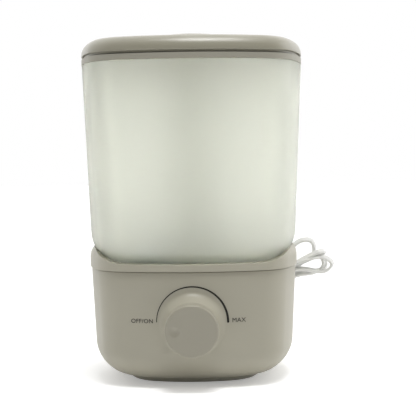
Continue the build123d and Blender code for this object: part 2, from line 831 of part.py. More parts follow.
with BuildPart() as tank_collar:
    with BuildSketch(Plane.XY.offset(tank_top + 0.2)):
        Squircle(collar_half)
        Squircle(collar_bore, mode=Mode.SUBTRACT)
    extrude(amount=collar_top - tank_top - 0.2)
    with BuildSketch(Plane.XY.offset(tank_top)):
        Squircle(tank_top_half - neck_step + 0.05)
    extrude(amount=neck_height, mode=Mode.SUBTRACT)
    with BuildSketch(Plane.XY.offset(collar_top)):
        Squircle(lip_half)
        Squircle(collar_bore, mode=Mode.SUBTRACT)
    extrude(amount=4.0)
finish(tank_collar, "tank_collar")

# ---------------------------------------------------------------- lid
plate_half = collar_bore - 0.7
plate_low = collar_top - 2.0
plate_thick = 1.8
lid_post_pitch = 2 * (lid_half - 36.0)
socket_radius = tube_radius + 5.5
hole_radius = nozzle_neck + 0.5

with BuildPart() as lid_cover:
    body_through(lid_line(0, lid_low))
    body_through(lid_line(lid_wall, lid_low - 4), mode=Mode.SUBTRACT)
    with BuildSketch(Plane.XY.offset(lid_low + 6)):
        Circle(hole_radius + 2.0)
    extrude(until=Until.NEXT)
    with BuildSketch(Plane.XY.offset(lid_low)):
        Circle(hole_radius)
    extrude(amount=20, mode=Mode.SUBTRACT)
    with BuildSketch(Plane.XY.offset(plate_low + plate_thick)):
        with GridLocations(lid_post_pitch, lid_post_pitch, 2, 2):
            Circle(3.4)
    extrude(until=Until.NEXT)
    with Locations(*at_corners(lid_post_pitch, lid_post_pitch, plate_low + plate_thick)):
        Cylinder(1.1, 8, align=(Align.CENTER, Align.CENTER, Align.MIN), mode=Mode.SUBTRACT)
finish(lid_cover, "lid_cover")

with BuildPart() as lid_inner_plate:
    with BuildSketch(Plane.XY.offset(plate_low)):
        Squircle(plate_half)
    extrude(amount=plate_thick)
    with BuildSketch(Plane.XY.offset(plate_low)):
        Squircle(plate_half)
        Squircle(plate_half - 1.8, mode=Mode.SUBTRACT)
    extrude(amount=8.0)
    with BuildSketch(Plane.XY.offset(plate_low - 7.0)):
        Circle(socket_radius + 2.0)
    extrude(amount=7.0)
    with BuildSketch(Plane.XY.offset(plate_low - 7.0)):
        Circle(tube_radius + 1.4)
    extrude(amount=1.4, mode=Mode.SUBTRACT)
    with BuildSketch(Plane.XY.offset(plate_low - 5.6)):
        Circle(socket_radius)
    extrude(amount=5.6, mode=Mode.SUBTRACT)
    with BuildSketch(Plane.XY.offset(plate_low)):
        Circle(tube_radius - 1.0)
    extrude(amount=plate_thick, mode=Mode.SUBTRACT)
    with BuildSketch(Plane.XY.offset(plate_low + plate_thick)):
        Circle(socket_radius + 1.0)
        Circle(socket_radius - 0.8, mode=Mode.SUBTRACT)
    extrude(amount=5.0)
    with BuildSketch(Plane.XY.offset(plate_low)):
        with GridLocations(lid_post_pitch, lid_post_pitch, 2, 2):
            Circle(1.4)
    extrude(amount=plate_thick, mode=Mode.SUBTRACT)
finish(lid_inner_plate, "lid_inner_plate")

with BuildPart() as lid_seal:
    with BuildSketch(Plane.XY.offset(plate_low - 5.5)):
        Circle(socket_radius - 0.1)
        Circle(tube_radius + 0.3, mode=Mode.SUBTRACT)
    extrude(amount=4.0)
finish(lid_seal, "lid_seal")

with BuildPart() as lid_screws:
    with Locations(*at_corners(lid_post_pitch, lid_post_pitch, plate_low)):
        add(pan_screw(1.05, 8.0, 2.6, 1.4))
finish(lid_screws, "lid_screws")

# ---------------------------------------------------------------- nozzle
nozzle_seat = lid_edge + lid_crown + 0.4
nozzle_wall = 1.8
nozzle_low = lid_low + 4.0

with BuildPart() as mist_nozzle:
    with BuildSketch(Plane.XZ):
        with BuildLine():
            Polyline(
                (0, nozzle_top),
                (0, nozzle_seat),
                (nozzle_radius, nozzle_seat),
                (nozzle_radius, nozzle_seat + 1.6),
            )
            Bezier(
                (nozzle_radius, nozzle_seat + 1.6),
                (nozzle_radius - 0.4, nozzle_top - 0.6),
                (nozzle_radius * 0.6, nozzle_top),
                (0, nozzle_top),
            )
        make_face()
    revolve(axis=Axis.Z)
    with BuildSketch(Plane.XY.offset(nozzle_low)):
        Circle(nozzle_neck)
    extrude(amount=nozzle_seat - nozzle_low)
    with BuildSketch(Plane.XY.offset(nozzle_low)):
        Circle(nozzle_neck - nozzle_wall)
    extrude(amount=nozzle_seat + 1.0 - nozzle_low, mode=Mode.SUBTRACT)
    with BuildSketch(Plane.XY.offset(nozzle_seat)):
        with Locations((0, -8)):
            SlotOverall(26, 8)
    extrude(amount=10, mode=Mode.SUBTRACT)
finish(mist_nozzle, "mist_nozzle")

with BuildPart() as nozzle_baffle:
    with BuildSketch(Plane.XY.offset(nozzle_low)):
        Circle(nozzle_neck - nozzle_wall)
        Circle(11, mode=Mode.SUBTRACT)
    extrude(amount=1.4)
    with BuildSketch(Plane.XY.offset(nozzle_low)):
        Circle(12.4)
        Circle(11, mode=Mode.SUBTRACT)
    extrude(amount=4.0)
finish(nozzle_baffle, "nozzle_baffle")

# ---------------------------------------------------------------- strain relief and cord
relief_end = rear_wall + relief_length

with BuildPart() as strain_relief:
    with BuildSketch(Plane.XZ.offset(-relief_end)):
        with Locations((exit_x, exit_height)):
            Circle(cord_radius + 0.8)
    with BuildSketch(Plane.XZ.offset(-rear_wall - 1.5)):
        with Locations((exit_x, exit_height)):
            Circle(cord_radius + relief_flare)
    loft()
    with BuildSketch(Plane.XZ.offset(-rear_wall - 1.5)):
        with Locations((exit_x, exit_height)):
            Circle(cord_radius + relief_wall)
    extrude(amount=10)
finish(strain_relief, "strain_relief")


def cord_tube(points, label):
    """Round tube along straight runs joined by the largest arcs that the runs allow."""
    runs = [(b - a).length for a, b in zip(points, points[1:])]
    turns = [
        (b - a).get_angle(c - b) for a, b, c in zip(points, points[1:], points[2:])
    ]
    radii = [
        0.45 * min(runs[i], runs[i + 1]) / tan(radians(turn / 2)) for i, turn in enumerate(turns)
    ]
    print(label, "radii in diameters", [round(radius / cord_width, 1) for radius in radii])
    with BuildPart() as tube:
        with BuildLine() as path:
            FilletPolyline(*points, radius=radii)
        with BuildSketch(Plane(origin=points[0], z_dir=points[1] - points[0])):
            Circle(cord_radius)
        sweep()
    length = sum(edge.length for edge in path.edges())
    print(label, "length", round(length), "volume ratio",
          round(tube.part.volume / (length * pi * cord_radius**2), 4))
    return tube


# The lead leaves the strain relief, drops to the table and comes back up into the hank.
hank_y = rim_half + hank_gap
lead_points = [
    Vector(exit_x, relief_end, exit_height),
    Vector(exit_x - 0.5, relief_end + 15, exit_height - 1.5),
    Vector(exit_x - 8, relief_end + 31, cord_radius + 11.1),
    Vector(exit_x - 25, relief_end + 40, cord_radius + 2.6),
    Vector(-9, relief_end + 36, cord_radius + 0.2),
    Vector(-22, relief_end + 19, cord_radius + 1.0),
    Vector(-19, relief_end + 1, cord_radius + 6.6),
    Vector(-3.0, hank_y + 3.6, 19.5),
]
power_cord = cord_tube(lead_points, "power_cord")
finish(power_cord, "power_cord")

# The hank leans on the base's back with its left end on the table.
hank_middle = Vector(50, hank_y, exit_height + cord_radius + relief_flare + 22.4)
hank_tilt = 30.0
hank_thick = 16.0
hank_dir = Vector(cos(radians(hank_tilt)), 0, sin(radians(hank_tilt)))
hank_plane = Plane(origin=hank_middle, x_dir=hank_dir, z_dir=(0, -1, 0))

with BuildPart() as cord_hank:
    with BuildSketch(hank_plane.offset(-hank_thick / 2)):
        with BuildLine():
            Spline(
                (66, -8), (62, 10), (48, 18), (20, 9), (0, 8), (-28, 10), (-54, 15),
                (-66, -4), (-59, -20), (-42, -16), (-20, -8.5), (0, -8), (26, -9), (50, -16),
                periodic=True,
            )
        make_face()
    extrude(amount=hank_thick)
    fillet(cord_hank.faces().filter_by(Axis.Y).edges(), radius=3.5)
finish(cord_hank, "cord_hank")

tie_width = 4.0
with BuildPart() as cord_tie:
    with BuildSketch(Plane(origin=hank_middle - hank_dir * tie_width / 2, x_dir=(0, 1, 0),
                           z_dir=hank_dir)):
        RectangleRounded(hank_thick + 2.0, 18.0, 5)
        RectangleRounded(hank_thick - 0.2, 16.0, 4, mode=Mode.SUBTRACT)
    extrude(amount=tie_width)
finish(cord_tie, "cord_tie")

# The tail leaves the hank's left end and comes down to the plug, which points away from the dial.
plug_half_high = 6.5
plug_turn = 24.0
plug_at = Vector(-43, hank_y + 25.8, plug_half_high)
plug_dir = Vector(-sin(radians(plug_turn)), cos(radians(plug_turn)), 0)
tail_points = [
    Vector(-4.5, hank_y - 0.2, 25),
    Vector(-17, hank_y + 0.3, 17.8),
    Vector(-29, hank_y + 4.5, 11),
    Vector(-38, hank_y + 13.5, 7.3),
    plug_at,
]
cord_tail = cord_tube(tail_points, "cord_tail")
finish(cord_tail, "cord_tail")

plug_side = Vector(plug_dir.Y, -plug_dir.X, 0)
plug_plane = Plane(origin=plug_at, x_dir=plug_side, z_dir=plug_dir)
plug_neck = 12.0
plug_length = 20.0
blade_length = 16.0
blade_spacing = 12.7
with BuildPart() as power_plug:
    with BuildSketch(plug_plane):
        Circle(cord_radius + 0.7)
    with BuildSketch(plug_plane.offset(plug_neck)):
        RectangleRounded(14, 9, 4)
    loft()
    with BuildSketch(plug_plane.offset(plug_neck)):
        RectangleRounded(24, 2 * plug_half_high, 5)
    extrude(amount=plug_length)
    fillet(power_plug.faces().sort_by(Axis(plug_at, plug_dir))[-1].edges(), radius=1.2)
    with BuildSketch(plug_plane.offset(plug_neck + plug_length - 6)):
        with GridLocations(blade_spacing, 0, 2, 1):
            Rectangle(1.6, 6.4)
    extrude(amount=6, mode=Mode.SUBTRACT)
finish(power_plug, "power_plug")

with BuildPart() as plug_blades:
    with BuildSketch(plug_plane.offset(plug_neck + plug_length - 6)):
        with GridLocations(blade_spacing, 0, 2, 1):
            Rectangle(1.5, 6.3)
    extrude(amount=blade_length + 6)
    prong_tip = plug_neck + plug_length + blade_length
    with BuildSketch(Plane(origin=plug_at + plug_dir * (prong_tip - 3.5) - plug_side * blade_spacing,
                           z_dir=plug_side)):
        Circle(1.5)
    extrude(amount=2 * blade_spacing, mode=Mode.SUBTRACT)
finish(plug_blades, "plug_blades")
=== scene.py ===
import json
from math import acos, atan2, cos, hypot, pi, radians, sin, sqrt

import bmesh
import bpy
from mathutils import Matrix, Vector


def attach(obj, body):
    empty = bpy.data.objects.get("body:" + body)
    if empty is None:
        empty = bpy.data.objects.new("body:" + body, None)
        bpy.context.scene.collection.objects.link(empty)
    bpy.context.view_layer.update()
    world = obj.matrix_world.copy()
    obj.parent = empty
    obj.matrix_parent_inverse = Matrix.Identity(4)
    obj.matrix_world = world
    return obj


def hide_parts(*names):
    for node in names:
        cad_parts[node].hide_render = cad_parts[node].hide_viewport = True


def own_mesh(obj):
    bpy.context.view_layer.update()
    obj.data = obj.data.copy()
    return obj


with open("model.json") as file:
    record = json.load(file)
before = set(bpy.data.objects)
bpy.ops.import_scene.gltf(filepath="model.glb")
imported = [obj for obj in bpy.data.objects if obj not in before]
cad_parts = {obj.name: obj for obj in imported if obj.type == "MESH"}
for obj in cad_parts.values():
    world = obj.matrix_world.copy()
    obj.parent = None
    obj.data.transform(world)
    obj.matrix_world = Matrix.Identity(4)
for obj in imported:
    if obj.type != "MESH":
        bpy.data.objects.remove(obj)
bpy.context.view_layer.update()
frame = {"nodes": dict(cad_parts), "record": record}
MM = 0.001


# ---------------------------------------------------------------- camera
def set_camera():
    """Straight on to the dial from a little above, turned a touch to the right of the humidifier."""
    data = bpy.data.cameras.new("camera")
    camera = bpy.data.objects.new("camera", data)
    bpy.context.scene.collection.objects.link(camera)
    data.sensor_width = 36.0
    data.lens = 102.9
    data.clip_start, data.clip_end = 0.01, 50.0
    camera.location = (0.021, -0.920, 0.168)
    turn, dip, lean = radians(0.60), radians(2.55), radians(0.67)
    forward = Vector((-sin(turn) * cos(dip), cos(turn) * cos(dip), -sin(dip)))
    upright = Vector((sin(lean), 0, cos(lean)))
    right = forward.cross(upright).normalized()
    up = right.cross(forward)
    facing = Matrix((right, up, -forward)).transposed().to_4x4()
    camera.matrix_world = Matrix.Translation(camera.location) @ facing
    bpy.context.scene.camera = camera


set_camera()

# ---------------------------------------------------------------- sizes of the humidifier, in millimetres
CORNER, SIDE = 0.393, 1.905       # of the bowed square outline, per half width
FOOT_CORNER = 0.60
FOOT_SEAM, BASE_SEAM = 4.5, 85.0
BASE_ROLL, BASE_ROLL_HALF, BASE_SEAM_HALF = 25.0, 75.8, 78.4
TANK_LOW, TANK_TOP, TANK_TOP_HALF = 86.0, 236.0, 83.7
LID_LOW, LID_EDGE, LID_HALF, LID_ROLL = 242.4, 253.4, 84.0, 10.0
DIAL_TILT, DIAL_HEIGHT, DIAL_RADIUS = 7.0, 47.0, 18.9
MARK_HEIGHT = 48.9                # level of the printed arc's two ends
BOSS_OUT, FACE_OUT = 9.0, 19.0
AROUND = 192                      # steps round a large skin


# ---------------------------------------------------------------- modelling helpers
def deselect():
    if bpy.context.object and bpy.context.object.mode != "OBJECT":
        bpy.ops.object.mode_set(mode="OBJECT")
    bpy.ops.object.select_all(action="DESELECT")


def take(piece):
    """Selects one piece alone, ready for the next operator."""
    deselect()
    piece.select_set(True)
    bpy.context.view_layer.objects.active = piece


def bowed_square(angle, half, corner=CORNER, side=SIDE):
    """Point of the bowed square outline whose outward direction is at the angle."""
    side_radius, corner_radius = half * side, half * corner
    spread = side_radius - corner_radius
    sweep = acos((side_radius - half) / (spread * sqrt(2))) - pi / 4
    centre = spread * sin(sweep)
    quarter = round(angle / (pi / 2))
    local = angle - quarter * pi / 2
    if abs(local) <= sweep:
        x, y = half - side_radius + side_radius * cos(local), side_radius * sin(local)
    else:
        x = centre + corner_radius * cos(local)
        y = (centre if local > 0 else -centre) + corner_radius * sin(local)
    turn = quarter * pi / 2
    return x * cos(turn) - y * sin(turn), x * sin(turn) + y * cos(turn)


def raised(name, rings, around=AROUND, closed=False, cap_high=False):
    """A round skin drawn up from ring to ring in edit mode. A ring is (radius, height) in millimetres."""
    deselect()
    radius, height = rings[0][:2]
    bpy.ops.mesh.primitive_circle_add(vertices=around, radius=radius * MM, location=(0, 0, height * MM))
    piece = bpy.context.object
    bpy.ops.object.transform_apply(location=True, rotation=False, scale=False)
    bpy.ops.object.mode_set(mode="EDIT")
    bpy.ops.mesh.select_all(action="SELECT")
    for ring in rings[1:]:
        bpy.ops.mesh.extrude_edges_move(TRANSFORM_OT_translate={"value": (0, 0, (ring[1] - height) * MM)})
        share = ring[0] / radius
        bpy.ops.transform.resize(value=(share, share, 1), center_override=(0, 0, ring[1] * MM))
        radius, height = ring[:2]
    if cap_high:
        bpy.ops.mesh.extrude_edges_move()
        bpy.ops.mesh.merge(type="CENTER")
    bpy.ops.mesh.select_all(action="SELECT")
    if closed:
        bpy.ops.mesh.remove_doubles(threshold=1e-6)
    bpy.ops.mesh.normals_make_consistent(inside=False)
    bpy.ops.object.mode_set(mode="OBJECT")
    piece.name = piece.data.name = name
    return piece


def square_up(piece, rings):
    """Turns each round ring into its bowed square. A ring may add (corner share, side share)."""
    for vertex in piece.data.vertices:
        x, y, z = (value / MM for value in vertex.co)
        radius = hypot(x, y)
        if radius < 0.01:
            continue
        ring = min(rings, key=lambda r: abs(r[0] - radius) + abs(r[1] - z))
        corner, side = ring[2:] or (CORNER, SIDE)
        if side <= 1.0:
            continue
        px, py = bowed_square(atan2(y, x), radius, corner, side)
        vertex.co = (px * MM, py * MM, z * MM)
    return piece


def smooth(piece, angle=35):
    take(piece)
    bpy.ops.object.shade_smooth_by_angle(angle=radians(angle))
    for modifier in list(piece.modifiers):
        bpy.ops.object.modifier_apply(modifier=modifier.name)
    return piece


def placed(piece, matrix):
    """Moves a finished mesh to its place; the object itself stays at the origin."""
    piece.data.transform(matrix)
    piece.data.update()
    return piece


def given(piece, body, slot, material, *nodes):
    """Everything a new piece needs: its body, its finish and the solids it stands for. The slot is not used."""
    piece.data.materials.clear()
    piece.data.materials.append(material)
    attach(piece, body)
    if nodes:
        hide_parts(*nodes)
    return piece


def arc(count, start, end):
    return [radians(start + (end - start) * step / count) for step in range(count + 1)]


# ---------------------------------------------------------------- shared finishes
def group(name, inputs, outputs):
    tree = bpy.data.node_groups.new(name, "ShaderNodeTree")
    for label, kind, default in inputs:
        socket = tree.interface.new_socket(name=label, in_out="INPUT", socket_type=kind)
        if default is not None:
            socket.default_value = default
    for label, kind in outputs:
        tree.interface.new_socket(name=label, in_out="OUTPUT", socket_type=kind)
    return tree, tree.nodes.new("NodeGroupInput"), tree.nodes.new("NodeGroupOutput")


def add_node(tree, kind, links=(), **settings):
    """A node with its settings, and its inputs linked or set by name or number."""
    node = tree.nodes.new(kind)
    for key, value in settings.items():
        setattr(node, key, value)
    for socket, value in dict(links).items():
        if isinstance(value, bpy.types.NodeSocket):
            tree.links.new(value, node.inputs[socket])
        else:
            node.inputs[socket].default_value = value
    return node


def moulded_finish():
    """Moulded surface: faint cloudiness of colour, uneven sheen and a fine spark grain."""
    tree, inside, outside = group(
        "moulded_finish",
        [("Place", "NodeSocketVector", None), ("Colour", "NodeSocketColor", (0.5, 0.5, 0.5, 1)),
         ("Roughness", "NodeSocketFloat", 0.4), ("Cloud", "NodeSocketFloat", 0.05),
         ("Grain", "NodeSocketFloat", 1800.0), ("Sheen", "NodeSocketFloat", 0.1)],
        [("Colour", "NodeSocketColor"), ("Roughness", "NodeSocketFloat"), ("Height", "NodeSocketFloat")])
    place = inside.outputs["Place"]
    cloud = add_node(tree, "ShaderNodeTexNoise", {"Vector": place, "Scale": 14.0, "Detail": 4.0, "Roughness": 0.6})
    centred = add_node(tree, "ShaderNodeMath", {0: cloud.outputs["Fac"], 1: 0.5}, operation="SUBTRACT")
    swing = add_node(tree, "ShaderNodeMath", {0: centred.outputs[0], 1: inside.outputs["Cloud"]},
                     operation="MULTIPLY")
    value = add_node(tree, "ShaderNodeMath", {0: swing.outputs[0], 1: 1.0}, operation="ADD")
    tint = add_node(tree, "ShaderNodeHueSaturation", {"Color": inside.outputs["Colour"], "Value": value.outputs[0]})
    smear = add_node(tree, "ShaderNodeTexNoise", {"Vector": place, "Scale": 38.0, "Detail": 6.0, "Distortion": 0.6})
    smear_centred = add_node(tree, "ShaderNodeMath", {0: smear.outputs["Fac"], 1: 0.5}, operation="SUBTRACT")
    sheen = add_node(tree, "ShaderNodeMath", {0: smear_centred.outputs[0], 1: inside.outputs["Sheen"]},
                     operation="MULTIPLY")
    rough = add_node(tree, "ShaderNodeMath", {0: inside.outputs["Roughness"], 1: sheen.outputs[0]},
                     operation="ADD", use_clamp=True)
    grain = add_node(tree, "ShaderNodeTexNoise", {"Vector": place, "Scale": inside.outputs["Grain"], "Detail": 2.0})
    tree.links.new(tint.outputs[0], outside.inputs["Colour"])
    tree.links.new(rough.outputs[0], outside.inputs["Roughness"])
    tree.links.new(grain.outputs["Fac"], outside.inputs["Height"])
    return tree


DUST_COLOUR = (0.86, 0.85, 0.82, 1)


def settled_dust():
    """A thin film of pale dust on whatever faces up, thicker in patches."""
    tree, inside, outside = group(
        "settled_dust",
        [("Place", "NodeSocketVector", None), ("Colour", "NodeSocketColor", (0.5, 0.5, 0.5, 1)),
         ("Amount", "NodeSocketFloat", 0.1)],
        [("Colour", "NodeSocketColor"), ("Dust", "NodeSocketFloat")])
    facing = add_node(tree, "ShaderNodeNewGeometry")
    parts = add_node(tree, "ShaderNodeSeparateXYZ", {0: facing.outputs["Normal"]})
    up = add_node(tree, "ShaderNodeMapRange", {"Value": parts.outputs["Z"], "From Min": 0.35, "From Max": 1.0})
    patches = add_node(tree, "ShaderNodeTexNoise", {"Vector": inside.outputs["Place"], "Scale": 60.0, "Detail": 8.0})
    spread = add_node(tree, "ShaderNodeMapRange",
                      {"Value": patches.outputs["Fac"], "From Min": 0.35, "From Max": 0.75})
    both = add_node(tree, "ShaderNodeMath", {0: up.outputs[0], 1: spread.outputs[0]}, operation="MULTIPLY")
    amount = add_node(tree, "ShaderNodeMath", {0: both.outputs[0], 1: inside.outputs["Amount"]}, operation="MULTIPLY")
    mixed = add_node(tree, "ShaderNodeMix", {0: amount.outputs[0], 6: inside.outputs["Colour"], 7: DUST_COLOUR},
                     data_type="RGBA")
    tree.links.new(mixed.outputs[2], outside.inputs["Colour"])
    tree.links.new(amount.outputs[0], outside.inputs["Dust"])
    return tree


def drawn_metal():
    """Metal with fine lengthwise scratches and slightly dull patches."""
    tree, inside, outside = group(
        "drawn_metal",
        [("Place", "NodeSocketVector", None), ("Colour", "NodeSocketColor", (0.6, 0.6, 0.6, 1)),
         ("Roughness", "NodeSocketFloat", 0.3), ("Stretch", "NodeSocketVector", (400.0, 400.0, 4000.0))],
        [("Colour", "NodeSocketColor"), ("Roughness", "NodeSocketFloat"), ("Height", "NodeSocketFloat")])
    stretched = add_node(tree, "ShaderNodeVectorMath", {0: inside.outputs["Place"], 1: inside.outputs["Stretch"]},
                         operation="MULTIPLY")
    scratch = add_node(tree, "ShaderNodeTexNoise", {"Vector": stretched.outputs[0], "Scale": 1.0, "Detail": 3.0})
    shade = add_node(tree, "ShaderNodeMapRange", {"Value": scratch.outputs["Fac"], "To Min": 0.86, "To Max": 1.1})
    tint = add_node(tree, "ShaderNodeHueSaturation", {"Color": inside.outputs["Colour"], "Value": shade.outputs[0]})
    dull = add_node(tree, "ShaderNodeMapRange", {"Value": scratch.outputs["Fac"], "To Min": -0.08, "To Max": 0.12})
    rough = add_node(tree, "ShaderNodeMath", {0: inside.outputs["Roughness"], 1: dull.outputs[0]},
                     operation="ADD", use_clamp=True)
    tree.links.new(tint.outputs[0], outside.inputs["Colour"])
    tree.links.new(rough.outputs[0], outside.inputs["Roughness"])
    tree.links.new(scratch.outputs["Fac"], outside.inputs["Height"])
    return tree


MOULDED, DUST, METAL = moulded_finish(), settled_dust(), drawn_metal()


def blank(name):
    material = bpy.data.materials.new(name)
    material.use_nodes = True
    tree = material.node_tree
    tree.nodes.clear()
    out = tree.nodes.new("ShaderNodeOutputMaterial")
    shader = tree.nodes.new("ShaderNodeBsdfPrincipled")
    tree.links.new(shader.outputs[0], out.inputs["Surface"])
    place = tree.nodes.new("ShaderNodeTexCoord").outputs["Object"]
    return material, tree, shader, place


def plastic(name, colour, roughness, cloud=0.05, grain=1800.0, depth=0.02, sheen=0.1, dust=0.0, **plain):
    """Moulded plastic, rubber or foam. Plain settings go straight onto the shader's sockets."""
    material, tree, shader, place = blank(name)
    body = add_node(tree, "ShaderNodeGroup", node_tree=MOULDED)
    tree.links.new(place, body.inputs["Place"])
    for label, value in (("Colour", (*colour, 1)), ("Roughness", roughness), ("Cloud", cloud),
                         ("Grain", grain), ("Sheen", sheen)):
        body.inputs[label].default_value = value
    colour_out = body.outputs["Colour"]
    if dust:
        film = add_node(tree, "ShaderNodeGroup", node_tree=DUST)
        tree.links.new(place, film.inputs["Place"])
        tree.links.new(colour_out, film.inputs["Colour"])
        film.inputs["Amount"].default_value = dust
        colour_out = film.outputs["Colour"]
    bump = add_node(tree, "ShaderNodeBump",
                    {"Strength": 0.35, "Distance": depth * MM, "Height": body.outputs["Height"]})
    tree.links.new(colour_out, shader.inputs["Base Color"])
    tree.links.new(body.outputs["Roughness"], shader.inputs["Roughness"])
    tree.links.new(bump.outputs[0], shader.inputs["Normal"])
    for label, value in plain.items():
        shader.inputs[label.replace("_", " ").title().replace("Ior", "IOR")].default_value = value
    return material


def metal(name, colour, roughness, stretch=(400.0, 400.0, 4000.0)):
    material, tree, shader, place = blank(name)
    body = add_node(tree, "ShaderNodeGroup", node_tree=METAL)
    tree.links.new(place, body.inputs["Place"])
    for label, value in (("Colour", (*colour, 1)), ("Roughness", roughness), ("Stretch", stretch)):
        body.inputs[label].default_value = value
    bump = add_node(tree, "ShaderNodeBump",
                    {"Strength": 0.3, "Distance": 0.02 * MM, "Height": body.outputs["Height"]})
    tree.links.new(body.outputs["Colour"], shader.inputs["Base Color"])
    tree.links.new(body.outputs["Roughness"], shader.inputs["Roughness"])
    tree.links.new(bump.outputs[0], shader.inputs["Normal"])
    shader.inputs["Metallic"].default_value = 1.0
    return material


def board_finish():
    """Green solder mask with lighter copper runs showing through."""
    material, tree, shader, place = blank("solder_mask")
    runs = add_node(tree, "ShaderNodeTexBrick", {
        "Vector": place, "Color1": (0.02, 0.13, 0.05, 1), "Color2": (0.03, 0.17, 0.07, 1),
        "Mortar": (0.09, 0.30, 0.12, 1), "Scale": 220.0, "Mortar Size": 0.05})
    body = add_node(tree, "ShaderNodeGroup", node_tree=MOULDED)
    tree.links.new(place, body.inputs["Place"])
    tree.links.new(runs.outputs["Color"], body.inputs["Colour"])
    body.inputs["Roughness"].default_value = 0.32
    bump = add_node(tree, "ShaderNodeBump", {"Strength": 0.4, "Distance": 0.05 * MM, "Height": runs.outputs["Fac"]})
    tree.links.new(body.outputs["Colour"], shader.inputs["Base Color"])
    tree.links.new(body.outputs["Roughness"], shader.inputs["Roughness"])
    tree.links.new(bump.outputs[0], shader.inputs["Normal"])
    return material


shell_plastic = plastic("warm_grey_shell", (0.392, 0.372, 0.296), 0.42, cloud=0.03, grain=2200.0,
                        depth=0.03, dust=0.05)
# The knob is the shell's plastic made darker: painted shade for its face, which looks down and forward.
shaded_knob_plastic = plastic("warm_grey_knob_painted_shade", (0.325, 0.306, 0.243), 0.38, cloud=0.03, grain=2600.0, depth=0.02,
                       dust=0.04)
lid_plastic = plastic("satin_lid", (0.300, 0.284, 0.220), 0.34, cloud=0.03, grain=900.0, depth=0.008,
                      sheen=0.10,
                      dust=0.08, coat_weight=0.14, coat_roughness=0.2)
collar_plastic = plastic("collar_ring", (0.32, 0.305, 0.25), 0.5, cloud=0.03, grain=2200.0, depth=0.03)
tank_plastic = plastic("frosted_tank", (0.942, 0.950, 0.900), 0.88, cloud=0.03, grain=2600.0, depth=0.05,
                       sheen=0.08, transmission_weight=0.83, ior=1.30)
tube_plastic = plastic("cloudy_tube", (0.93, 0.94, 0.88), 0.4, cloud=0.06, grain=1500.0,
                       transmission_weight=0.85)
inner_plastic = plastic("inner_plastic", (0.66, 0.66, 0.61), 0.45, cloud=0.05)
black_plastic = plastic("black_plastic", (0.022, 0.022, 0.024), 0.42, cloud=0.1)
valve_plastic = plastic("blue_grey_valve", (0.22, 0.29, 0.38), 0.45, cloud=0.05)
silicone = plastic("blue_grey_silicone", (0.30, 0.37, 0.44), 0.5, cloud=0.08, grain=900.0)
foot_rubber = plastic("foot_rubber", (0.045, 0.044, 0.042), 0.75, cloud=0.15, grain=1400.0, depth=0.06)
float_foam = plastic("closed_cell_foam", (0.82, 0.82, 0.79), 0.8, cloud=0.08, grain=900.0, depth=0.15)
cord_vinyl = plastic("white_cord_vinyl", (0.80, 0.80, 0.775), 0.36, cloud=0.05, grain=700.0, depth=0.02,
                     sheen=0.12)
tie_plastic = plastic("white_tie", (0.80, 0.80, 0.78), 0.3, cloud=0.05)
dial_ink = plastic("dark_print", (0.010, 0.009, 0.006), 0.7, cloud=0.2, grain=3000.0)
ceramic_disc = metal("silvered_disc", (0.70, 0.69, 0.66), 0.25)
coil_copper = metal("enamelled_copper", (0.52, 0.22, 0.08), 0.3, stretch=(60.0, 60.0, 6000.0))
sink_aluminium = metal("extruded_aluminium", (0.66, 0.67, 0.68), 0.35)
screw_steel = metal("zinc_screw", (0.55, 0.55, 0.56), 0.3)
spring_steel = metal("spring_wire", (0.50, 0.52, 0.55), 0.25)
motor_steel = metal("turned_steel", (0.40, 0.40, 0.41), 0.3)
blade_brass = metal("stamped_brass", (0.72, 0.55, 0.24), 0.28)
# The foot plate is the shell's plastic made darker: painted shade for the dark band along the foot.
shaded_foot_plastic = plastic("foot_plate_painted_shade", (0.34, 0.325, 0.265), 0.5, cloud=0.05, grain=2200.0, depth=0.03)
solder_mask = board_finish()

SLOT_FINISH = {
    "shell_plastic": shell_plastic, "lid_plastic": lid_plastic, "frosted_tank": tank_plastic,
    "tube_plastic": tube_plastic, "inner_plastic": inner_plastic, "black_plastic": black_plastic,
    "silicone": silicone, "foot_rubber": foot_rubber, "float_foam": float_foam, "ceramic_disc": ceramic_disc,
    "circuit_board": solder_mask, "coil_copper": coil_copper, "heat_sink_aluminium": sink_aluminium,
    "screw_steel": screw_steel, "spring_steel": spring_steel, "motor_steel": motor_steel,
    "cord_white": cord_vinyl, "tie_white": tie_plastic, "blade_brass": blade_brass,
}
for subpart in frame["record"]["subparts"]:
    node = frame["nodes"][subpart["node"]]
    for spot in node.material_slots:
        spot.material = SLOT_FINISH[subpart["material_slot"]]

for label, finish in (("bottom_cover", shaded_foot_plastic), ("tank_collar", collar_plastic),
                      ("valve_housing", valve_plastic)):
    frame["nodes"][label].material_slots[0].material = finish


# ---------------------------------------------------------------- mains cord
LEAD = [(38, 101.6, 25), (37.5, 116.6, 23.5), (30, 132.6, 13.5), (13, 141.6, 5), (-9, 137.6, 2.6),
        (-22, 120.6, 3.4), (-19, 102.6, 9), (-3, 92.1, 19.5)]
TAIL = [(-4.5, 88.3, 25), (-17, 88.8, 17.8), (-29, 93, 11), (-38, 102, 7.3), (-43, 114.3, 6.5)]
HANK = Vector((50, 88.5, 52))
